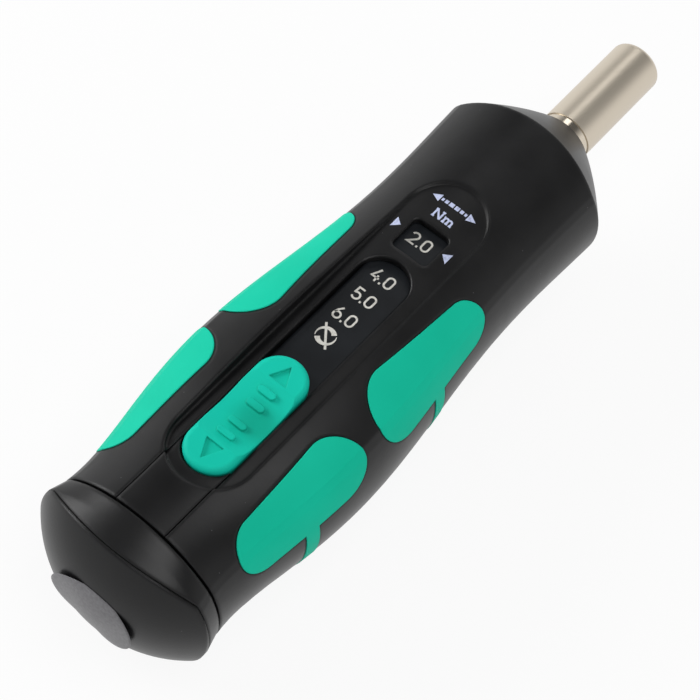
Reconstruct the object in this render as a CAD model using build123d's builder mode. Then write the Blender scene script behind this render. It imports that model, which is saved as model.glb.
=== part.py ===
from build123d import *
import math
import os

# Adjustable torque screwdriver, in millimetres.
# The tool axis is X, towards the bit. Z points up through the middle of the scale panel.
# The origin is on the axis, at the front end of the bit sleeve.

# Places along the axis, each measured back from the one before it
sleeve_reach = 26.0
nose_length = 13.1
collar_to_waist = 9.0
waist_length = 20.0
waist_to_bulge = 34.0
bulge_to_neck = 34.0
neck_to_joint = 4.8
ring_length = 3.6
dome_height = 8.7

# Handle section: three arched faces, two soft creases beside the scale face and a flat below
nose_radius = 6.6
nose_swell = 0.3
collar_edge = 0.3
collar_radius = 18.3
waist_radius = 17.9
bulge_radius = 20.9
neck_radius = 17.75
joint_radius = 17.9
ring_radius = 18.75
side_drop = 0.85
collar_drop = 1.5
waist_drop = 1.6
bulge_drop = 3.8
joint_drop = 1.3
ring_drop = 2.8
dome_drop = 4.8
upper_corner_deg = 57.0
crease_deg = 5.0
rest_flat_deg = 28.0
joint_gap = 0.5
seam_gap = 0.15
seam_rise = 3.1

# Scale panel, slot and window
window_to_nose = 44.1
window_length = 7.7
window_width = 7.6
window_corner = 1.2
window_to_slot = 5.8
slot_front_margin = 0.7
panel_height = 15.4
panel_arch = 24.0
panel_width = 15.2
panel_front_margin = 13.8
panel_rear_margin = 2.0
panel_draft_deg = 15.0
bridge_wall = 1.6
cover_floor = 13.0

# Slider and scale
scale_pitch = 5.13
scale_steps = 5
slider_length = 26.2
slider_width = 9.8
slider_proud = 0.6
slider_edge = 1.0
strip_thickness = 1.2
strip_overlap = 1.2
strip_rear_margin = 4.0
thumb_dip = 1.3
thumb_radius = 20.0
ridge_height = 0.6
ridge_length = 3.6
ridge_width = 1.3
ridge_places = (2.2, 5.0)
arrow_base = 7.6
arrow_length = 3.6
arrow_width = 3.6
arrow_depth = 0.5
yoke_length = 8.0
yoke_neck_width = 6.0
detent_wire = 0.35
detent_opening_deg = 30.0

# Soft grip pads on the three corners, each wide near the bulge and narrow away from it
pad_depth = 1.4
pad_proud = 0.12
pad_spacing = 4.6
bulge_to_spacing = 2.0
rear_pad_length = 27.8
rear_wide_radius = 6.0
rear_wide_rise = 0.1
rear_narrow_radius = 5.2
rear_narrow_rise = -0.6
front_pad_length = 30.8
front_wide_radius = 6.5
front_wide_rise = 0.65
front_narrow_radius = 4.75
front_narrow_rise = 0.25
runner_width = 2.8
runner_face_deg = 120.0

# Torque mechanism and drive
bore_radius = 11.5
spigot_radius = 13.0
spigot_length = 5.0
web_wall = 2.6
cage_radius = 9.0
cage_wall = 1.0
cage_flange = 1.5
cage_slot_width = 1.6
cage_land = 16.0
tongue_count = 6
tongue_nose_radius = 0.7
tongue_nose_length = 3.6
cam_radius = 7.6
cam_length = 6.0
cam_notches = 12
notch_radius = 1.0
groove_depth = 0.25
groove_width = 0.8
spindle_radius = 3.5
spindle_end_gap = 0.3
clip_depth = 0.5
clip_thickness = 0.8
clip_radius = 5.0
clip_opening = 2.4
washer_radius = 6.5
washer_thickness = 0.8
rear_bushing_length = 7.0
front_bushing_length = 8.0
front_bushing_radius = 8.0
nose_lip = 4.0
sleeve_radius = 5.25
sleeve_edge = 1.0
sleeve_flange_radius = 7.0
sleeve_flange_length = 1.5
sleeve_neck_depth = 0.2
sleeve_neck_length = 2.6
spindle_socket = 10.0
hex_across_flats = 6.45
hex_depth = 12.0
magnet_radius = 2.5
magnet_length = 3.0

# End cap screw and sticker
screw_radius = 1.5
screw_head_radius = 3.1
screw_head_height = 2.0
screw_clearance = 0.2
screw_sink = 2.8
label_radius = 9.6
label_thickness = 0.2

# Clearances
slide_gap = 0.3
running_gap = 0.05
fit_gap = 0.1
cover_gap = 0.2

# Derived places
nose_x = -sleeve_reach
collar_x = nose_x - nose_length
waist_front_x = collar_x - collar_to_waist
waist_rear_x = waist_front_x - waist_length
bulge_x = waist_rear_x - waist_to_bulge
neck_x = bulge_x - bulge_to_neck
joint_x = neck_x - neck_to_joint
ring_front_x = joint_x - joint_gap
ring_corner_x = joint_x - ring_length
apex_x = ring_corner_x - dome_height
web_x = ring_corner_x + web_wall
screw_seat_x = apex_x + screw_sink
dome_radius = (ring_radius**2 + dome_height**2) / (2 * dome_height)
window_x = nose_x - window_to_nose
travel = scale_pitch * scale_steps
slot_width = slider_width + 2 * slide_gap
slot_length = slider_length + travel + 2 * slide_gap + slot_front_margin
slot_front_x = window_x - window_to_slot
slot_rear_x = slot_front_x - slot_length
slot_mid_x = (slot_front_x + slot_rear_x) / 2
button_rear_x = slot_rear_x + slide_gap
button_mid_x = button_rear_x + slider_length / 2
panel_front_x = window_x + panel_front_margin
panel_rear_x = slot_rear_x - panel_rear_margin
button_top = panel_height + slider_proud
channel_top = panel_height - bridge_wall
strip_top = channel_top - slide_gap
strip_bottom = strip_top - strip_thickness
strip_front_x = window_x + window_length / 2 + strip_overlap
strip_rear_x = button_rear_x + strip_rear_margin
channel_front_x = strip_front_x + travel + slide_gap
front_bushing_x = nose_x - nose_lip
sleeve_rear_x = front_bushing_x - front_bushing_length - slide_gap - sleeve_flange_length
bore_front_x = sleeve_rear_x + slide_gap
cam_rear_x = sleeve_rear_x - cam_length
cage_front_x = sleeve_rear_x - slide_gap
cage_inner = cage_radius - cage_wall
yoke_bore = cage_radius + slide_gap
yoke_radius = bore_radius - slide_gap
bushing_rear_x = web_x + cage_flange + washer_thickness
clear_radius = bulge_radius + ring_radius
panel_sag = panel_arch - math.sqrt(panel_arch**2 - (panel_width / 2) ** 2)
runner_reach = waist_radius * math.sin(math.radians(runner_face_deg - upper_corner_deg))
top_half_deg = upper_corner_deg - crease_deg / 2


def polar(radius, degrees):
    return (radius * math.cos(math.radians(degrees)), radius * math.sin(math.radians(degrees)))


def cross_plane(x):
    return Plane(origin=(x, 0, 0), x_dir=(0, 1, 0), z_dir=(1, 0, 0))


def radial_plane(degrees):
    return Plane(origin=(0, 0, 0), x_dir=(1, 0, 0), z_dir=(0, *polar(1, degrees)))


def lobed_section(x, radius, top_drop):
    """One cross-section of the handle, from the scale face round by the flat below and back."""
    top_end = 90 + top_half_deg
    side_start = top_end + crease_deg
    side_end = 270 - rest_flat_deg / 2
    side_middle = (side_start + side_end) / 2
    corners = [polar(radius, angle) for angle in (top_end, side_start, side_end)]
    mirrored = [polar(radius, 180 - angle) for angle in (side_end, side_start, top_end)]
    with BuildSketch(cross_plane(x)) as section:
        with BuildLine():
            ThreePointArc(mirrored[2], polar(radius - top_drop, 90), corners[0])
            Line(corners[0], corners[1])
            ThreePointArc(corners[1], polar(radius - side_drop, side_middle), corners[2])
            Line(corners[2], mirrored[0])
            ThreePointArc(mirrored[0], polar(radius - side_drop, 180 - side_middle), mirrored[1])
            Line(mirrored[1], mirrored[2])
        make_face()
    return section.sketch


def handle_form(inset, mode=Mode.ADD):
    """The handle's outer form, sunk by an inset, as one loft from the rear joint to the nose."""
    stations = (
        (joint_x, joint_radius, joint_drop),
        (neck_x, neck_radius, joint_drop),
        (bulge_x, bulge_radius, bulge_drop),
        (waist_rear_x, waist_radius, waist_drop),
        (waist_front_x, waist_radius, waist_drop),
        (collar_x, collar_radius, collar_drop),
        (nose_x, collar_radius, collar_drop),
    )
    loft([lobed_section(x, radius - inset, drop) for x, radius, drop in stations], mode=mode)


def rear_form():
    """Ring and end cap as one body: a flared ring closed by a dome."""
    front = lobed_section(ring_front_x, joint_radius, joint_drop)
    corner = lobed_section(ring_corner_x, ring_radius, ring_drop)
    rear = lobed_section(apex_x, ring_radius, dome_drop)
    loft([front, corner, rear], ruled=True)
    half_angle = math.asin(ring_radius / dome_radius) / 2
    middle = (apex_x + dome_radius * (1 - math.cos(half_angle)), dome_radius * math.sin(half_angle))
    with BuildSketch(Plane.XZ) as profile:
        with BuildLine():
            ThreePointArc((apex_x, 0), middle, (ring_corner_x, ring_radius))
            Polyline(
                (ring_corner_x, ring_radius),
                (ring_corner_x, clear_radius),
                (ring_front_x, clear_radius),
                (ring_front_x, 0),
                (apex_x, 0),
            )
        make_face()
    revolve(profile.sketch, axis=Axis.X, mode=Mode.INTERSECT)


def round_bar(x_from, x_to, radius, mode=Mode.ADD):
    """A cylinder on the tool axis."""
    with BuildSketch(cross_plane(x_from)) as disc:
        Circle(radius)
    extrude(disc.sketch, amount=x_to - x_from, mode=mode)


def tube(x_from, x_to, radius, hole):
    """A plain ring or tube on the tool axis."""
    with BuildSketch(cross_plane(x_from)) as ring:
        Circle(radius)
        Circle(hole, mode=Mode.SUBTRACT)
    extrude(ring.sketch, amount=x_to - x_from)


def slot_opening(bottom):
    """The open slot that the button slides in."""
    with BuildSketch(Plane.XY.offset(bottom)) as outline:
        with Locations((slot_mid_x, 0)):
            SlotOverall(slot_length, slot_width)
    extrude(outline.sketch, amount=bulge_radius, mode=Mode.SUBTRACT)


def grip_zone(wide, narrow):
    """Room taken by one set of soft pads, one on each corner, and the two runners that join them."""
    for corner, way in ((90 - upper_corner_deg, -1), (90 + upper_corner_deg, 1), (270, 0)):
        with BuildSketch(radial_plane(corner)) as pad:
            for x, radius, rise in (wide, narrow):
                with Locations((x, way * rise)):
                    Circle(radius)
            make_hull(pad.edges())
        extrude(pad.sketch, amount=clear_radius)
    runner_x = (wide[0] + narrow[0] + math.copysign(wide[1] - narrow[1], wide[0] - narrow[0])) / 2
    for face in (90 + runner_face_deg, 90 - runner_face_deg):
        with BuildSketch(radial_plane(face)) as runner:
            with Locations((runner_x, 0)):
                Rectangle(runner_width, 2 * runner_reach)
        extrude(runner.sketch, amount=clear_radius)


# Soft grips
rear_wide_x = bulge_x - bulge_to_spacing - pad_spacing / 2 - rear_wide_radius
rear_narrow_x = rear_wide_x + rear_wide_radius - rear_pad_length + rear_narrow_radius
front_wide_x = bulge_x - bulge_to_spacing + pad_spacing / 2 + front_wide_radius
front_narrow_x = front_wide_x - front_wide_radius + front_pad_length - front_narrow_radius

with BuildPart() as rear_zone:
    grip_zone(
        (rear_wide_x, rear_wide_radius, rear_wide_rise),
        (rear_narrow_x, rear_narrow_radius, rear_narrow_rise),
    )

with BuildPart() as front_zone:
    grip_zone(
        (front_wide_x, front_wide_radius, front_wide_rise),
        (front_narrow_x, front_narrow_radius, front_narrow_rise),
    )

with BuildPart() as rear_soft_grip:
    handle_form(-pad_proud)
    handle_form(pad_depth, Mode.SUBTRACT)
    add(rear_zone.part, mode=Mode.INTERSECT)

with BuildPart() as front_soft_grip:
    handle_form(-pad_proud)
    handle_form(pad_depth, Mode.SUBTRACT)
    add(front_zone.part, mode=Mode.INTERSECT)

# Room of the scale panel: a shallow stadium with drafted walls over a slightly arched floor
with BuildPart() as panel_room:
    panel_mid_x = (panel_front_x + panel_rear_x) / 2
    with BuildSketch(Plane.XY.offset(panel_height - panel_sag)):
        with Locations((panel_mid_x, 0)):
            SlotOverall(panel_front_x - panel_rear_x, panel_width)
    extrude(amount=bulge_radius, taper=-panel_draft_deg)
    with BuildSketch(cross_plane(joint_x)):
        with Locations((0, panel_height - panel_arch)):
            Circle(panel_arch)
    extrude(amount=nose_x - joint_x, mode=Mode.SUBTRACT)

# Handle shell
with BuildPart() as handle_shell:
    handle_form(0)
    with BuildSketch(Plane.XZ):
        chord_x = (collar_x + nose_x) / 2
        cone_radius = collar_radius + collar_edge
        chord_radius = (cone_radius + nose_radius) / 2
        with BuildLine():
            ThreePointArc(
                (nose_x, nose_radius),
                (chord_x + nose_swell, chord_radius + nose_swell),
                (collar_x, cone_radius),
            )
            Polyline(
                (collar_x, cone_radius),
                (collar_x, clear_radius),
                (joint_x, clear_radius),
                (joint_x, 0),
                (nose_x, 0),
                (nose_x, nose_radius),
            )
        make_face()
    revolve(axis=Axis.X, mode=Mode.INTERSECT)
    add(panel_room.part, mode=Mode.SUBTRACT)
    slot_opening(channel_top - slider_width)
    with BuildSketch(Plane.XY.offset(panel_height - bulge_radius / 2)):
        with Locations((window_x, 0)):
            RectangleRounded(window_length, window_width, window_corner)
    extrude(amount=bulge_radius, mode=Mode.SUBTRACT)
    with BuildSketch(Plane.XY):
        with Locations(((slot_mid_x + channel_front_x) / 2, 0)):
            Rectangle(channel_front_x - slot_mid_x, slot_width)
    extrude(amount=channel_top, mode=Mode.SUBTRACT)
    with BuildSketch(Plane.XY.offset(cover_floor)):
        with Locations(((joint_x + slot_mid_x) / 2, 0)):
            Rectangle(slot_mid_x - joint_x, slot_width)
    extrude(amount=bulge_radius, mode=Mode.SUBTRACT)
    round_bar(joint_x, bore_front_x, bore_radius, Mode.SUBTRACT)
    round_bar(joint_x, joint_x + spigot_length, spigot_radius, Mode.SUBTRACT)
    round_bar(bore_front_x, front_bushing_x, front_bushing_radius, Mode.SUBTRACT)
    round_bar(front_bushing_x, nose_x, sleeve_radius + slide_gap, Mode.SUBTRACT)
    add(rear_soft_grip.part, mode=Mode.SUBTRACT)
    add(front_soft_grip.part, mode=Mode.SUBTRACT)

# Slot cover behind the button
with BuildPart() as slot_cover:
    handle_form(0)
    cover_front_x = slot_rear_x + slot_width / 2
    with BuildSketch(Plane.XY.offset(cover_floor)):
        with Locations(((joint_x + cover_front_x) / 2, 0)):
            Rectangle(cover_front_x - joint_x, slot_width - 2 * cover_gap)
    extrude(amount=bulge_radius, mode=Mode.INTERSECT)
    add(panel_room.part, mode=Mode.SUBTRACT)
    slot_opening(0)

# End ring and cap, parted by a seam that falls back over the scale side
with BuildPart() as ring_side:
    round_bar(ring_corner_x, joint_x + spigot_length, clear_radius)
    chord = ring_radius * math.sin(math.radians(top_half_deg))
    seam_radius = (chord**2 + seam_rise**2) / (2 * seam_rise)
    with BuildSketch(Plane.XY):
        with Locations((ring_corner_x - seam_rise + seam_radius, 0)):
            Circle(seam_radius)
        with Locations((ring_corner_x, 0)):
            Rectangle(2 * seam_rise, 2 * chord, mode=Mode.INTERSECT)
    extrude(amount=clear_radius)

with BuildPart() as end_ring:
    rear_form()
    add(ring_side.part, mode=Mode.INTERSECT)
    round_bar(ring_front_x, joint_x + spigot_length, spigot_radius)
    round_bar(web_x, joint_x + spigot_length, bore_radius, Mode.SUBTRACT)
    round_bar(apex_x, web_x, screw_radius, Mode.SUBTRACT)

with BuildPart() as end_cap:
    rear_form()
    with Locations((-seam_gap, 0, 0)):
        add(ring_side.part, mode=Mode.SUBTRACT)
    round_bar(apex_x, screw_seat_x, screw_head_radius + screw_clearance, Mode.SUBTRACT)
    round_bar(apex_x, ring_corner_x, screw_radius + screw_clearance, Mode.SUBTRACT)

with BuildPart() as cap_screw:
    round_bar(screw_seat_x, web_x, screw_radius)
    round_bar(screw_seat_x - screw_head_height, screw_seat_x, screw_head_radius)

with BuildPart() as end_label:
    with Locations((apex_x + dome_radius, 0, 0)):
        Sphere(dome_radius + label_thickness)
        Sphere(dome_radius, mode=Mode.SUBTRACT)
    round_bar(apex_x - label_thickness, ring_corner_x, label_radius, Mode.INTERSECT)

# Slider
with BuildPart() as slide_button:
    with BuildSketch(Plane.XY.offset(strip_top)):
        with Locations((button_mid_x, 0)):
            SlotOverall(slider_length, slider_width)
    extrude(amount=button_top - strip_top)
    fillet(slide_button.faces().sort_by(Axis.Z)[-1].edges(), radius=slider_edge)
    dip_plane = Plane.XZ.offset(-slider_width)
    dip_z = button_top - thumb_dip + thumb_radius
    with BuildSketch(dip_plane):
        with Locations((button_mid_x, dip_z)):
            Circle(thumb_radius)
    extrude(amount=2 * slider_width, mode=Mode.SUBTRACT)
    with BuildSketch(Plane.XY.offset(strip_top)):
        for place in ridge_places:
            with Locations((button_mid_x - place, 0), (button_mid_x + place, 0)):
                SlotOverall(ridge_length, ridge_width, rotation=90)
    extrude(amount=button_top - strip_top)
    with BuildSketch(dip_plane):
        with Locations((button_mid_x, dip_z)):
            Circle(thumb_radius - ridge_height)
    extrude(amount=2 * slider_width, mode=Mode.SUBTRACT)
    with BuildSketch(Plane.XY.offset(button_top - arrow_depth)):
        for way in (-1, 1):
            base_x = button_mid_x + way * arrow_base
            with BuildLine():
                Polyline(
                    (base_x, -arrow_width / 2),
                    (base_x + way * arrow_length, 0),
                    (base_x, arrow_width / 2),
                    close=True,
                )
            make_face()
    extrude(amount=slider_proud, mode=Mode.SUBTRACT)

with BuildPart() as scale_strip:
    with BuildSketch(Plane.XY.offset(strip_bottom)):
        with Locations(((strip_front_x + strip_rear_x) / 2, 0)):
            Rectangle(strip_front_x - strip_rear_x, slider_width)
    extrude(amount=strip_thickness)

yoke_rear_x = button_mid_x - yoke_length / 2
with BuildPart() as support_ring:
    round_bar(yoke_rear_x, yoke_rear_x + yoke_length, yoke_radius)
    with BuildSketch(Plane.XY):
        with Locations((button_mid_x, 0)):
            Rectangle(yoke_length, yoke_neck_width)
    extrude(amount=strip_bottom)
    round_bar(yoke_rear_x, yoke_rear_x + yoke_length, yoke_bore, Mode.SUBTRACT)
    with BuildSketch(cross_plane(button_mid_x - detent_wire)):
        Circle(yoke_bore + detent_wire)
    extrude(amount=2 * detent_wire, mode=Mode.SUBTRACT)

with BuildPart() as detent_spring:
    with BuildSketch(Plane.XZ):
        with Locations((button_mid_x, yoke_bore)):
            Circle(detent_wire / 2)
    revolve(axis=Axis.X, revolution_arc=360 - detent_opening_deg)

# Spring cage: a tube slotted into tongues, with a nose inside the end of each
with BuildPart() as spring_cage:
    tube(web_x, cage_front_x, cage_radius, cage_inner)
    tube(web_x, web_x + cage_flange, bore_radius, cage_inner)
    nose_angle = 360 / tongue_count
    with BuildSketch(cross_plane(web_x + cage_land)):
        with PolarLocations(cage_radius, tongue_count, start_angle=90 + nose_angle / 2):
            Rectangle(4 * cage_wall, cage_slot_width)
    extrude(amount=cage_front_x - web_x, mode=Mode.SUBTRACT)
    with BuildSketch(cross_plane(cage_front_x - tongue_nose_length)):
        with PolarLocations(cam_radius, tongue_count, start_angle=90):
            Circle(tongue_nose_radius)
    extrude(amount=tongue_nose_length)
    for step in range(scale_steps + 1):
        groove_x = button_mid_x + step * scale_pitch
        with BuildSketch(cross_plane(groove_x - groove_width / 2)):
            Circle(clear_radius)
            Circle(cage_radius - groove_depth, mode=Mode.SUBTRACT)
        extrude(amount=groove_width, mode=Mode.SUBTRACT)

with BuildPart() as cam_wheel:
    with BuildSketch(cross_plane(cam_rear_x)):
        Circle(cam_radius)
        Circle(spindle_radius, mode=Mode.SUBTRACT)
        with PolarLocations(cam_radius, cam_notches, start_angle=90):
            Circle(notch_radius, mode=Mode.SUBTRACT)
    extrude(amount=cam_length)

# Spindle and bit sleeve
spindle_rear_x = web_x + spindle_end_gap
clip_x = bushing_rear_x - washer_thickness - slide_gap - clip_thickness
with BuildPart() as spindle:
    round_bar(spindle_rear_x, sleeve_rear_x + spindle_socket, spindle_radius)
    with BuildSketch(cross_plane(clip_x)):
        Circle(clear_radius)
        Circle(spindle_radius - clip_depth, mode=Mode.SUBTRACT)
    extrude(amount=clip_thickness, mode=Mode.SUBTRACT)

with BuildPart() as circlip:
    tube(clip_x, clip_x + clip_thickness, clip_radius, spindle_radius - clip_depth)
    with BuildSketch(cross_plane(clip_x)):
        with Locations((0, clip_radius)):
            Rectangle(clip_opening, 2 * clip_radius)
    extrude(amount=clip_thickness, mode=Mode.SUBTRACT)

with BuildPart() as thrust_washer:
    tube(bushing_rear_x - washer_thickness, bushing_rear_x, washer_radius, spindle_radius + fit_gap)

with BuildPart() as rear_bushing:
    tube(bushing_rear_x, bushing_rear_x + rear_bushing_length, cage_inner, spindle_radius + running_gap)

with BuildPart() as front_bushing:
    tube(
        front_bushing_x - front_bushing_length,
        front_bushing_x,
        front_bushing_radius,
        sleeve_radius + running_gap,
    )

with BuildPart() as bit_sleeve:
    round_bar(sleeve_rear_x, 0, sleeve_radius)
    fillet(bit_sleeve.faces().sort_by(Axis.X)[-1].edges(), radius=sleeve_edge)
    with BuildSketch(cross_plane(nose_x)):
        Circle(sleeve_radius + fit_gap)
        Circle(sleeve_radius - sleeve_neck_depth, mode=Mode.SUBTRACT)
    extrude(amount=sleeve_neck_length, mode=Mode.SUBTRACT)
    round_bar(sleeve_rear_x, sleeve_rear_x + sleeve_flange_length, sleeve_flange_radius)
    round_bar(sleeve_rear_x, sleeve_rear_x + spindle_socket, spindle_radius, Mode.SUBTRACT)
    round_bar(-hex_depth - magnet_length, 0, magnet_radius, Mode.SUBTRACT)
    with BuildSketch(cross_plane(-hex_depth)):
        RegularPolygon(hex_across_flats / 2, 6, major_radius=False)
    extrude(amount=hex_depth, mode=Mode.SUBTRACT)

with BuildPart() as bit_magnet:
    round_bar(-hex_depth - magnet_length, -hex_depth, magnet_radius)

# Write one file per piece
pieces = {
    "handle_shell": handle_shell,
    "rear_soft_grip": rear_soft_grip,
    "front_soft_grip": front_soft_grip,
    "slot_cover": slot_cover,
    "end_ring": end_ring,
    "end_cap": end_cap,
    "cap_screw": cap_screw,
    "end_label": end_label,
    "slide_button": slide_button,
    "scale_strip": scale_strip,
    "support_ring": support_ring,
    "detent_spring": detent_spring,
    "spring_cage": spring_cage,
    "cam_wheel": cam_wheel,
    "spindle": spindle,
    "circlip": circlip,
    "thrust_washer": thrust_washer,
    "rear_bushing": rear_bushing,
    "front_bushing": front_bushing,
    "bit_sleeve": bit_sleeve,
    "bit_magnet": bit_magnet,
}
os.makedirs("parts", exist_ok=True)
for name, piece in pieces.items():
    piece.part.label = name
    export_step(piece.part, f"parts/{name}.step")
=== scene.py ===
import math
import bmesh
import bpy
from mathutils import Matrix, Vector


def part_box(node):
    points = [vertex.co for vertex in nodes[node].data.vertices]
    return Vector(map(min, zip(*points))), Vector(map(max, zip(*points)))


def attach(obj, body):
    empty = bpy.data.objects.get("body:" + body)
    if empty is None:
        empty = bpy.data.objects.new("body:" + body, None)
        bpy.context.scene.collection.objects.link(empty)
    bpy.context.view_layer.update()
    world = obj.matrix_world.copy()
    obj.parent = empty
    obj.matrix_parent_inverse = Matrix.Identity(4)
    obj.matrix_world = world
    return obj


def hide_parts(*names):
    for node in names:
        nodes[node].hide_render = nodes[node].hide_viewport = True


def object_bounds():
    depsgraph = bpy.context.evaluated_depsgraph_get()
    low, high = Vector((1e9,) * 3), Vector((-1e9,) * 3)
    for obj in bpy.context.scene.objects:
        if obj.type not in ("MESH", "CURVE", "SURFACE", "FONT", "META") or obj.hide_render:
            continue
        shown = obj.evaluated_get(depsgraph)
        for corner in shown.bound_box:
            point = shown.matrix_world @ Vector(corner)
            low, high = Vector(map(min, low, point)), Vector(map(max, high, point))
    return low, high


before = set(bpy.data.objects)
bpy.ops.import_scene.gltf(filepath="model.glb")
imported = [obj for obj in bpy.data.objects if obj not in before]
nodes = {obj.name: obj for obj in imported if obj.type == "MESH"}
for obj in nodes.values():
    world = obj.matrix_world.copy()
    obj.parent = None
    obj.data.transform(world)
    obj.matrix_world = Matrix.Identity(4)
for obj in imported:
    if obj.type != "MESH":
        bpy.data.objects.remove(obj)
cadLow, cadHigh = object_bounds()
mm = 0.001
print("frame loaded:", len(nodes), "nodes")


def linear(hexCode):  # sRGB hex code to a linear colour
    channels = [int(hexCode[i:i + 2], 16) / 255 for i in (1, 3, 5)]
    bright = [c / 12.92 if c <= 0.04045 else ((c + 0.055) / 1.055) ** 2.4 for c in channels]
    return (*bright, 1.0)


def addNode(tree, kind, settings, links=None):
    node = tree.nodes.new(kind)
    for name, value in settings.items():
        if isinstance(name, int) or name in node.inputs:
            node.inputs[name].default_value = value
        else:
            setattr(node, name, value)
    for name, socket in (links or {}).items():
        tree.links.new(socket, node.inputs[name])
    return node


def startMaterial(name, settings):
    material = bpy.data.materials.new(name)
    material.use_nodes = True
    tree = material.node_tree
    tree.nodes.clear()
    shader = addNode(tree, "ShaderNodeBsdfPrincipled", settings)
    addNode(tree, "ShaderNodeOutputMaterial", {}, {"Surface": shader.outputs[0]})
    place = addNode(tree, "ShaderNodeTexCoord", {}).outputs["Object"]
    return material, tree, shader, place


def perMm(size):  # texture scale for features of this size
    return 1 / (size * mm)


def addNoise(tree, place, size, detail):
    noise = addNode(tree, "ShaderNodeTexNoise", {"Scale": perMm(size), "Detail": detail},
                    {"Vector": place})
    return noise.outputs["Fac"]


def twoTones(tree, amount, look, low, high):
    ramp = addNode(tree, "ShaderNodeValToRGB", {}, {"Fac": amount})
    first, second = ramp.color_ramp.elements
    first.position, first.color = look["toneFrom"], linear(look[low])
    second.position, second.color = look["toneTo"], linear(look[high])
    return ramp.outputs["Color"]


mixSockets = {"from": 6, "to": 7, "out": 2}  # the Mix node's colour sockets


def mixTones(tree, share, tone, hexCode):
    mix = addNode(tree, "ShaderNodeMix", {"data_type": "RGBA", mixSockets["to"]: linear(hexCode)},
                  {"Factor": share, mixSockets["from"]: tone})
    return mix.outputs[mixSockets["out"]]


edgeSamples = 8


def bumpSkin(tree, shader, height, deep, edge=0.0):
    links = {"Height": height}
    if edge:  # moulded edges are never quite sharp
        softEdge = addNode(tree, "ShaderNodeBevel", {"samples": edgeSamples, "Radius": edge * mm})
        links["Normal"] = softEdge.outputs[0]
    bump = addNode(tree, "ShaderNodeBump", {"Strength": 1.0, "Distance": deep * mm}, links)
    tree.links.new(bump.outputs[0], shader.inputs["Normal"])


# Glass-filled polyamide, moulded in a spark-eroded tool: near black, satin, with a fine even
# grain, a slightly uneven sheen and a few pale specks where it has been rubbed.
blackLook = {
    "colour": "#0e0e0f", "rubbed": "#141415", "toneFrom": 0.35, "toneTo": 0.70,
    "cloud": 9.0, "cloudDetail": 3.0, "speck": "#565658", "speckEvery": 3.2, "speckSize": 0.08,
    "refraction": 1.5, "gloss": 0.27, "sheenLow": 0.30, "sheenHigh": 0.42,
    "grain": 0.45, "grainDetail": 4.0, "grainDeep": 0.010, "edge": 0.9,
}


def blackPolyamide(name, look):
    material, tree, shader, place = startMaterial(
        name, {"IOR": look["refraction"], "Specular IOR Level": look["gloss"]})
    cloud = addNoise(tree, place, look["cloud"], look["cloudDetail"])
    tone = twoTones(tree, cloud, look, "colour", "rubbed")
    cell = addNode(tree, "ShaderNodeTexVoronoi", {"Scale": perMm(look["speckEvery"])},
                   {"Vector": place})
    dotSize = look["speckSize"] / look["speckEvery"]
    dot = addNode(tree, "ShaderNodeMath", {"operation": "LESS_THAN", 1: dotSize},
                  {0: cell.outputs["Distance"]})
    speckled = mixTones(tree, dot.outputs[0], tone, look["speck"])
    tree.links.new(speckled, shader.inputs["Base Color"])
    sheen = addNode(tree, "ShaderNodeMapRange",
                    {"To Min": look["sheenLow"], "To Max": look["sheenHigh"]}, {"Value": cloud})
    tree.links.new(sheen.outputs[0], shader.inputs["Roughness"])
    grain = addNoise(tree, place, look["grain"], look["grainDetail"])
    bumpSkin(tree, shader, grain, look["grainDeep"], look["edge"])
    return material


# Thermoplastic elastomer, overmoulded: a soft matt green with a dry, fine-grained skin.
greenLook = {
    "colour": "#06bb9a", "pale": "#0cc2a1", "toneFrom": 0.35, "toneTo": 0.70,
    "cloud": 14.0, "cloudDetail": 2.0, "refraction": 1.48, "gloss": 0.12, "rough": 0.6,
    "grain": 0.35, "grainDetail": 3.0, "grainDeep": 0.008, "edge": 0.35,
}

# The middle of the slide button's thumb dip is painted darker, most on its right side: painted
# shade in the hollow.
buttonLow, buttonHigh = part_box("slide_button")
dipShade = {
    "colour": "#05a38a", "x": (buttonLow.x + buttonHigh.x) / 2 / mm, "y": -2.6,
    "long": 5.2, "wide": 7.0, "full": 0.80,
}


# Painted shade: mixes the dip's darker colour into the tone, strongest at the dip's middle and
# fading out towards the edge of an ellipse round it.
def paintDipShade(tree, place, tone, dip):
    toDip = addNode(tree, "ShaderNodeMapping", {
        "Location": (-dip["x"] / dip["long"], -dip["y"] / dip["wide"], 0.0),
        "Scale": (perMm(dip["long"]), perMm(dip["wide"]), 0.0)}, {"Vector": place})
    ball = addNode(tree, "ShaderNodeTexGradient", {"gradient_type": "SPHERICAL"},
                   {"Vector": toDip.outputs[0]})
    share = addNode(tree, "ShaderNodeMapRange",
                    {"interpolation_type": "SMOOTHSTEP", "From Max": dip["full"]},
                    {"Value": ball.outputs["Fac"]})
    return mixTones(tree, share.outputs[0], tone, dip["colour"])


def greenElastomer(name, look):
    material, tree, shader, place = startMaterial(name, {
        "IOR": look["refraction"], "Roughness": look["rough"], "Specular IOR Level": look["gloss"]})
    cloud = addNoise(tree, place, look["cloud"], look["cloudDetail"])
    tone = twoTones(tree, cloud, look, "colour", "pale")
    # painted shade in the thumb dip, for looks that have one
    if "dip" in look:
        tone = paintDipShade(tree, place, tone, look["dip"])
    tree.links.new(tone, shader.inputs["Base Color"])
    grain = addNoise(tree, place, look["grain"], look["grainDetail"])
    bumpSkin(tree, shader, grain, look["grainDeep"], look["edge"])
    return material


# Steel, turned and satin nickel plated: warm grey, blurred bands along it, faint turning marks
# round it, and a smoother neck behind neckX.
nickelLook = {
    "colour": "#d2c8b8", "rough": 0.38, "neckX": -23.4, "neckBlend": 0.1, "neckRough": 0.17,
    "mark": 0.30, "markDetail": 3.0, "markRound": 0.02, "markDeep": 0.002,
}


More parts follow.
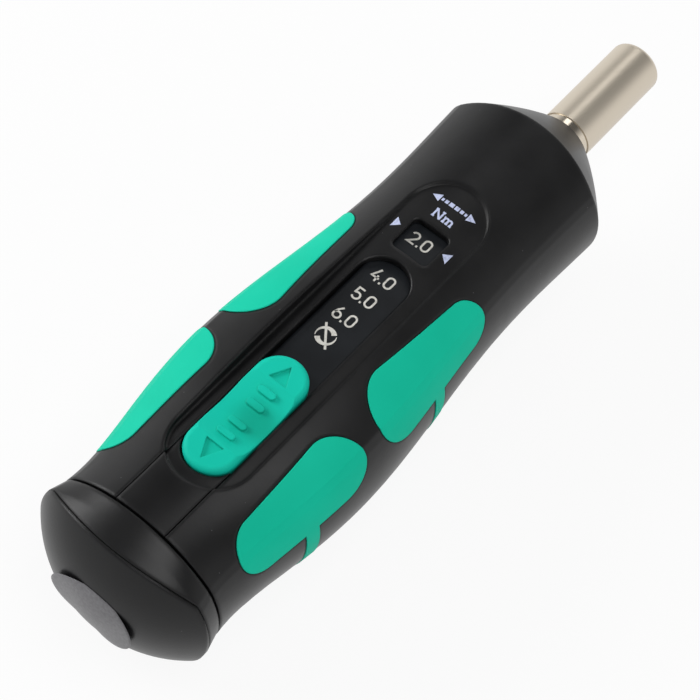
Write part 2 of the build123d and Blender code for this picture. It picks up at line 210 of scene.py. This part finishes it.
def turnedMetal(name, look):
    material, tree, shader, place = startMaterial(
        name, {"Metallic": 1.0, "Base Color": linear(look["colour"])})
    along = addNode(tree, "ShaderNodeSeparateXYZ", {}, {"Vector": place})
    rough = addNode(tree, "ShaderNodeMapRange", {
        "From Min": (look["neckX"] - look["neckBlend"]) * mm, "From Max": look["neckX"] * mm,
        "To Min": look["neckRough"], "To Max": look["rough"]}, {"Value": along.outputs["X"]})
    tree.links.new(rough.outputs[0], shader.inputs["Roughness"])
    stretch = addNode(tree, "ShaderNodeMapping",
                      {"Scale": (1.0, look["markRound"], look["markRound"])}, {"Vector": place})
    mark = addNoise(tree, stretch.outputs[0], look["mark"], look["markDetail"])
    bumpSkin(tree, shader, mark, look["markDeep"])
    return material


# Pad-printed ink: a thin matt film, a little uneven where the pad lifted off.
panelInkLook = {
    "colour": "#b9c1de", "thin": "#9aa2c0", "toneFrom": 0.30, "toneTo": 0.50,
    "cloud": 0.6, "cloudDetail": 2.0, "refraction": 1.5, "rough": 0.5,
}
scaleInkLook = dict(panelInkLook, colour="#cdcbc4", thin="#b3b1aa")


def padInk(name, look):
    material, tree, shader, place = startMaterial(
        name, {"IOR": look["refraction"], "Roughness": look["rough"]})
    cloud = addNoise(tree, place, look["cloud"], look["cloudDetail"])
    tone = twoTones(tree, cloud, look, "thin", "colour")
    tree.links.new(tone, shader.inputs["Base Color"])
    return material


# Coated paper: grey, with a faint fibre and a slight gloss.
paperLook = {
    "colour": "#5a595c", "pale": "#6f6e71", "toneFrom": 0.30, "toneTo": 0.75,
    "fibre": 0.5, "fibreDetail": 5.0, "fibreDeep": 0.010, "refraction": 1.5, "rough": 0.42,
}


def coatedPaper(name, look):
    material, tree, shader, place = startMaterial(
        name, {"IOR": look["refraction"], "Roughness": look["rough"]})
    fibre = addNoise(tree, place, look["fibre"], look["fibreDetail"])
    tone = twoTones(tree, fibre, look, "colour", "pale")
    tree.links.new(tone, shader.inputs["Base Color"])
    bumpSkin(tree, shader, fibre, look["fibreDeep"])
    return material


stripLook = dict(blackLook, colour="#15171a", rubbed="#1b1e22")
# the slider carries painted shade in its thumb dip
sliderLook = dict(greenLook, colour="#08b9a1", pale="#0cbea6", dip=dipShade)
springLook = dict(nickelLook, colour="#a9a8a6", rough=0.3, neckRough=0.3)
bronzeLook = dict(nickelLook, colour="#b98a55", rough=0.4, neckRough=0.4)

blackMaterial = blackPolyamide("moulded polyamide", blackLook)
stripMaterial = blackPolyamide("moulded acetal", stripLook)
greenMaterial = greenElastomer("overmoulded elastomer", greenLook)
sliderMaterial = greenElastomer("moulded green acetal", sliderLook)
nickelMaterial = turnedMetal("nickel-plated steel", nickelLook)
springMaterial = turnedMetal("ground spring steel", springLook)
bronzeMaterial = turnedMetal("sintered bronze", bronzeLook)
panelInk = padInk("pad-printed ink", panelInkLook)
scaleInk = padInk("pad-printed scale ink", scaleInkLook)
paperMaterial = coatedPaper("coated paper", paperLook)

finishes = {  # every other node is of spring steel
    "handle_shell": blackMaterial, "slot_cover": blackMaterial,
    "end_ring": blackMaterial, "end_cap": blackMaterial, "end_label": paperMaterial,
    "rear_soft_grip": greenMaterial, "front_soft_grip": greenMaterial,
    "slide_button": sliderMaterial, "scale_strip": stripMaterial, "support_ring": stripMaterial,
    "bit_sleeve": nickelMaterial, "bit_magnet": nickelMaterial,
    "rear_bushing": bronzeMaterial, "front_bushing": bronzeMaterial,
}
for name, node in nodes.items():
    node.data.materials.clear()
    node.data.materials.append(finishes.get(name, springMaterial))
print("materials set")


# Printed marks: strokes of ink, a hair above the surface
inkHeight = 0.02
panelFloor = {"up": 15.4, "arch": 24.0}
windowBack = 5.05  # from the strip's front end to the middle of the window
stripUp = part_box("scale_strip")[1].z / mm
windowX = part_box("scale_strip")[1].x / mm - windowBack


def arc(centre, radius, start, end, steps=14):
    turns = [math.radians(start + (end - start) * i / steps) for i in range(steps + 1)]
    return [(centre[0] + radius * math.cos(t), centre[1] + radius * math.sin(t)) for t in turns]


# A glyph is its width and its strokes, in units of its height; a stroke whose ends meet is closed
glyphs = {
    "0": (0.62, [arc((0.31, 0.68), 0.25, 0, 180) + arc((0.31, 0.32), 0.25, 180, 360)
                 + [(0.56, 0.68)]]),
    "2": (0.62, [arc((0.31, 0.69), 0.25, 165, -35) + [(0.06, 0.06), (0.58, 0.06)]]),
    "3": (0.62, [arc((0.30, 0.72), 0.22, 150, -90) + [(0.22, 0.50)],
                 arc((0.30, 0.29), 0.23, 100, -150)]),
    "4": (0.64, [[(0.40, 1.0), (0.07, 0.30), (0.62, 0.30)], [(0.45, 0.52), (0.45, 0.0)]]),
    "5": (0.62, [[(0.55, 0.94), (0.13, 0.94), (0.10, 0.52)]
                 + arc((0.31, 0.32), 0.26, 130, -150)]),
    "6": (0.62, [arc((0.31, 0.31), 0.25, 150, 510), [(0.07, 0.40), (0.16, 0.66), (0.40, 0.98)]]),
    ".": (0.14, [[(0.07, 0.0), (0.07, 0.15)]]),
}
endsMeet = 1e-6
sharpestTurn = 0.4  # keeps the outside of a sharp turn short


def ribbon(bm, points, half, up, place):
    closed = (Vector(points[0]) - Vector(points[-1])).length < endsMeet
    pts = [Vector(p) for p in (points[:-1] if closed else points)]
    count = len(pts)
    rows = []
    for i, p in enumerate(pts):
        ways = []
        if closed or i:
            ways.append((p - pts[i - 1]).normalized())
        if closed or i < count - 1:
            ways.append((pts[(i + 1) % count] - p).normalized())
        way = sum(ways, Vector((0, 0))).normalized()
        across = Vector((-way.y, way.x)) * half / max(sharpestTurn, way.dot(ways[0]))
        left, right = p + across, p - across
        corners = ((left, 0), (left, up), (right, up), (right, 0))
        rows.append([bm.verts.new(place(q, h)) for q, h in corners])
    for i in range(count if closed else count - 1):
        one, two = rows[i], rows[(i + 1) % count]
        for k in range(len(one)):
            n = (k + 1) % len(one)
            bm.faces.new((one[k], two[k], two[n], one[n]))
    if not closed:
        bm.faces.new(rows[0])
        bm.faces.new(reversed(rows[-1]))


def block(bm, corners, up, place):
    low = [bm.verts.new(place(Vector(c), 0)) for c in corners]
    high = [bm.verts.new(place(Vector(c), up)) for c in corners]
    bm.faces.new(high)
    bm.faces.new(reversed(low))
    for i in range(len(corners)):
        k = (i + 1) % len(corners)
        bm.faces.new((low[i], low[k], high[k], high[i]))


def onStrip(x, y):  # marks read across the handle, with their tops towards the bit
    return lambda p, h: ((x + p[1]) * mm, (y - p[0]) * mm, (stripUp + h) * mm)


def onPanel(x, y):
    def place(p, h):
        across = y - p[0]
        sag = panelFloor["arch"] - math.sqrt(panelFloor["arch"] ** 2 - across ** 2)
        return ((x + p[1]) * mm, across * mm, (panelFloor["up"] - sag + h) * mm)
    return place


def addPiece(name, bm, material, body):
    bmesh.ops.recalc_face_normals(bm, faces=bm.faces)
    mesh = bpy.data.meshes.new(name)
    bm.to_mesh(mesh)
    bm.free()
    mesh.materials.append(material)
    piece = bpy.data.objects.new(name, mesh)
    bpy.context.scene.collection.objects.link(piece)
    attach(piece, body)
    return piece


scaleMarks = {
    "texts": ("2.0", "3.0", "4.0", "5.0", "6.0"), "pitch": 5.13, "shiftX": 0.9, "shiftY": 0.6,
    "height": 2.75, "stroke": 0.36, "gap": 0.11,
}


def stepX(step):
    return windowX + scaleMarks["shiftX"] - step * scaleMarks["pitch"]


def addNumber(text, x, look):
    bm = bmesh.new()
    width = sum(glyphs[c][0] for c in text) + look["gap"] * (len(text) - 1)
    along = -width / 2
    for c in text:
        wide, strokes = glyphs[c]
        for stroke in strokes:
            points = [((along + u) * look["height"], (v - 0.5) * look["height"]) for u, v in stroke]
            ribbon(bm, points, look["stroke"] / 2, inkHeight, onStrip(x, look["shiftY"]))
        along += wide + look["gap"]
    name = "scaleNumber" + text.replace(".", "")
    return addPiece(name, bm, scaleInk, "slide_body")


for step, text in enumerate(scaleMarks["texts"]):
    addNumber(text, stepX(step), scaleMarks)

# Lock sign behind the last number: two crescents that chase each other round a bar
lockMark = {
    "step": 5, "moveX": 0.1, "radius": 1.9, "from": 212.0, "to": 42.0, "arcSteps": 24,
    "thin": 0.12, "thick": 0.97, "bar": 0.42, "barReach": 2.7, "barTurn": 127.0, "barUp": 1.5,
}
bm = bmesh.new()
place = onStrip(stepX(lockMark["step"]) + lockMark["moveX"], scaleMarks["shiftY"])
barTurn = math.radians(lockMark["barTurn"])
barEnd = Vector((math.cos(barTurn), math.sin(barTurn))) * lockMark["barReach"]
ribbon(bm, [barEnd, -barEnd], lockMark["bar"] / 2, lockMark["barUp"] * inkHeight, place)
for half in (0, 180):
    outer = arc((0, 0), lockMark["radius"], lockMark["from"] + half, lockMark["to"] + half,
                lockMark["arcSteps"])
    inner = []
    for i, (u, v) in enumerate(outer):
        swell = (lockMark["thick"] - lockMark["thin"]) * i / lockMark["arcSteps"]
        inward = 1 - (lockMark["thin"] + swell) / lockMark["radius"]
        inner.append((u * inward, v * inward))
    block(bm, outer + inner[::-1], inkHeight, place)
addPiece("lockMark", bm, scaleInk, "slide_body")

# Pointers on both sides of the window
pointers = {"x": 0.62, "y": 0.35, "out": 5.3, "base": 2.4, "deep": 1.45}
bm = bmesh.new()
place = onPanel(windowX + pointers["x"], pointers["y"])
half = pointers["base"] / 2
for side in (-1, 1):
    tip = side * (pointers["out"] - pointers["deep"] / 2)
    foot = side * (pointers["out"] + pointers["deep"] / 2)
    block(bm, [(tip, 0), (foot, half), (foot, -half)], inkHeight, place)
addPiece("windowPointers", bm, panelInk, "handle_body")

# Turn arrow with two heads; each dash has its start and end along the arrow and its width
turnArrow = {
    "x": 9.59, "y": 0.16, "reach": 4.7, "headLong": 1.7, "headWide": 1.75,
    "dashes": ((0.21, 0.26, 0.6), (0.29, 0.36, 0.75), (0.39, 0.61, 0.85), (0.64, 0.71, 0.75),
               (0.74, 0.79, 0.6)),
}
bm = bmesh.new()
place = onPanel(windowX + turnArrow["x"], turnArrow["y"])
reach = turnArrow["reach"]
half = turnArrow["headWide"] / 2
for side in (-1, 1):
    foot = side * (reach - turnArrow["headLong"])
    block(bm, [(side * reach, 0), (foot, half), (foot, -half)], inkHeight, place)
for start, end, wide in turnArrow["dashes"]:
    dash = [(reach * (2 * start - 1), 0), (reach * (2 * end - 1), 0)]
    ribbon(bm, dash, wide / 2, inkHeight, place)
addPiece("turnArrow", bm, panelInk, "handle_body")

# The unit below the arrow, in letters with flat feet
unitMark = {"x": 6.56, "y": 0.16, "height": 1.95, "stroke": 0.36, "shifts": {"N": -1.10, "m": 0.02}}
leg = 0.39  # from one leg of the m to the next
unitStrokes = {
    "N": [[(0.14, 0.0), (0.14, 1.0)], [(0.14, 1.0), (0.86, 0.0)], [(0.86, 0.0), (0.86, 1.0)],
          [(0.0, 0.06), (0.30, 0.06)], [(0.0, 0.94), (0.26, 0.94)], [(0.70, 0.94), (1.0, 0.94)]],
    "m": [[(0.14, 0.0), (0.14, 0.66)],
          *(arc((0.335 + leg * k, 0.42), 0.195, 180, 0, 10) + [(0.53 + leg * k, 0.0)]
            for k in (0, 1)),
          *([(leg * k, 0.06), (0.28 + leg * k, 0.06)] for k in (0, 1, 2)),
          [(0.0, 0.62), (0.14, 0.62)]],
}
bm = bmesh.new()
place = onPanel(windowX + unitMark["x"], unitMark["y"])
high = unitMark["height"]
for letter, shift in unitMark["shifts"].items():
    for stroke in unitStrokes[letter]:
        points = [((u + shift) * high, (v - 0.5) * high) for u, v in stroke]
        ribbon(bm, points, unitMark["stroke"] / 2, inkHeight, place)
addPiece("unitMark", bm, panelInk, "handle_body")
print("printed marks made")


# Sticker on the end cap: its rim has come loose on two sides and stands off the dome
sticker = {
    "radius": 8.6, "upright": 0.84, "thick": 0.10, "rings": 16, "spokes": 72,
    "loose": (10.0, 195.0), "spread": 70.0, "lift": 0.95, "stuck": 0.35,
    "dome": 24.56, "seat": 0.2, "clear": 0.03,
}
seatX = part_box("end_label")[0].x / mm + sticker["seat"]


def stickerPoint(r, turn, back):
    peel = max(0.0, (r / sticker["radius"] - sticker["stuck"]) / (1 - sticker["stuck"])) ** 2
    lift = 0.0
    for loose in sticker["loose"]:
        apart = abs((math.degrees(turn) - loose + 180) % 360 - 180)
        lift += sticker["lift"] * max(0.0, 1 - (apart / sticker["spread"]) ** 2) * peel
    y, z = r * math.cos(turn), r * math.sin(turn) * sticker["upright"]
    sag = sticker["dome"] - math.sqrt(sticker["dome"] ** 2 - y ** 2 - z ** 2)
    x = seatX + sag - sticker["clear"] - lift - (0 if back else sticker["thick"])
    return (x * mm, y * mm, z * mm)


bm = bmesh.new()
rims = []
spokes = range(sticker["spokes"])
for back in (True, False):
    grid = [[bm.verts.new(stickerPoint(0, 0, back))]]
    for ring in range(1, sticker["rings"] + 1):
        r = sticker["radius"] * ring / sticker["rings"]
        turns = [2 * math.pi * k / len(spokes) for k in spokes]
        grid.append([bm.verts.new(stickerPoint(r, turn, back)) for turn in turns])
    for k in spokes:
        n = (k + 1) % len(spokes)
        bm.faces.new((grid[0][0], grid[1][k], grid[1][n]))
        for ring in range(1, sticker["rings"]):
            bm.faces.new((grid[ring][k], grid[ring + 1][k], grid[ring + 1][n], grid[ring][n]))
    rims.append(grid[-1])
for k in spokes:
    n = (k + 1) % len(spokes)
    bm.faces.new((rims[0][k], rims[0][n], rims[1][n], rims[1][k]))
label = addPiece("endSticker", bm, paperMaterial, "handle_body")
label.data.shade_smooth()
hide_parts("end_label")
print("sticker made")


# Camera, as fitted to the photograph's perspective
shot = {
    "place": (-245.69, -97.15, 303.81),
    "right": (0.6329, -0.7696, 0.0839), "up": (0.6334, 0.5771, 0.5155),
    "lens": 105.4, "sensor": 36.0, "near": 10.0,
}
cameraData = bpy.data.cameras.new("photoCamera")
cameraData.lens = shot["lens"]
cameraData.sensor_width = shot["sensor"]
cameraData.clip_start = shot["near"] * mm
camera = bpy.data.objects.new("photoCamera", cameraData)
bpy.context.scene.collection.objects.link(camera)
right = Vector(shot["right"]).normalized()
up = Vector(shot["up"])
up = (up - right * up.dot(right)).normalized()
turn = Matrix((right, up, right.cross(up))).transposed().to_4x4()
camera.matrix_world = Matrix.Translation(Vector(shot["place"]) * mm) @ turn
bpy.context.scene.camera = camera

# Pale floor that keeps the shadow but shows as almost white to the camera and in reflections
floorLook = {"reach": 2.0, "below": 0.2, "colour": "#cfcfcf", "glow": 0.88, "bright": 1.03}
floorMesh = bpy.data.meshes.new("floor")
bm = bmesh.new()
bmesh.ops.create_grid(bm, x_segments=1, y_segments=1, size=floorLook["reach"])
bm.to_mesh(floorMesh)
bm.free()
floor = bpy.data.objects.new("floor", floorMesh)
bpy.context.scene.collection.objects.link(floor)
floor.location.z = cadLow.z - floorLook["below"] * mm
floorMaterial = bpy.data.materials.new("pale table top")
floorMaterial.use_nodes = True
tree = floorMaterial.node_tree
tree.nodes.clear()
matt = addNode(tree, "ShaderNodeBsdfDiffuse", {"Color": linear(floorLook["colour"])})
glow = addNode(tree, "ShaderNodeEmission", {"Strength": floorLook["bright"]})
path = addNode(tree, "ShaderNodeLightPath", {})
seen = path.outputs["Is Camera Ray"]
for ray in ("Is Glossy Ray", "Is Transmission Ray"):
    either = addNode(tree, "ShaderNodeMath", {"operation": "MAXIMUM"},
                     {0: seen, 1: path.outputs[ray]})
    seen = either.outputs[0]
share = addNode(tree, "ShaderNodeMath", {"operation": "MULTIPLY", 1: floorLook["glow"]}, {0: seen})
both = addNode(tree, "ShaderNodeMixShader", {},
               {0: share.outputs[0], 1: matt.outputs[0], 2: glow.outputs[0]})
addNode(tree, "ShaderNodeOutputMaterial", {}, {"Surface": both.outputs[0]})
floorMesh.materials.append(floorMaterial)

# Soft studio light, in metres and watts
lamps = {
    "key": {"place": (-0.10, -0.28, 0.90), "aim": (-0.08, 0.0, 0.0), "size": 0.5, "power": 3.8},
    "sleeveCard": {"place": (0.215, 0.105, 0.30), "aim": (-0.013, 0.0, 0.0),
                   "size": 0.13, "power": 0.10},
    "leftSide": {"place": (-0.25, 0.80, 0.45), "aim": (-0.08, 0.0, 0.0),
                 "size": 0.5, "power": 6.0},
}
for name, lamp in lamps.items():
    data = bpy.data.lights.new(name, "AREA")
    data.energy = lamp["power"]
    data.size = lamp["size"]
    light = bpy.data.objects.new(name, data)
    light.location = lamp["place"]
    ahead = Vector(lamp["aim"]) - Vector(lamp["place"])
    light.rotation_euler = ahead.to_track_quat("-Z", "Y").to_euler()
    bpy.context.scene.collection.objects.link(light)

# Sky: bright near the horizon, dim overhead, white where the camera sees it
skyLook = {"colour": "#ffffff", "lowZ": 0.25, "highZ": 0.70, "low": 1.0, "high": 0.12}
world = bpy.data.worlds.new("studio")
world.use_nodes = True
bpy.context.scene.world = world
tree = world.node_tree
tree.nodes.clear()
path = addNode(tree, "ShaderNodeLightPath", {})
way = addNode(tree, "ShaderNodeTexCoord", {})
split = addNode(tree, "ShaderNodeSeparateXYZ", {}, {"Vector": way.outputs["Generated"]})
sky = addNode(tree, "ShaderNodeMapRange", {
    "From Min": skyLook["lowZ"], "From Max": skyLook["highZ"],
    "To Min": skyLook["low"], "To Max": skyLook["high"]}, {"Value": split.outputs["Z"]})
strength = addNode(tree, "ShaderNodeMath", {"operation": "MAXIMUM"},
                   {0: sky.outputs[0], 1: path.outputs["Is Camera Ray"]})
backdrop = addNode(tree, "ShaderNodeBackground", {"Color": linear(skyLook["colour"])},
                   {"Strength": strength.outputs[0]})
addNode(tree, "ShaderNodeOutputWorld", {}, {"Surface": backdrop.outputs[0]})
bpy.context.scene.view_settings.view_transform = "Standard"
print("camera, floor and light set")
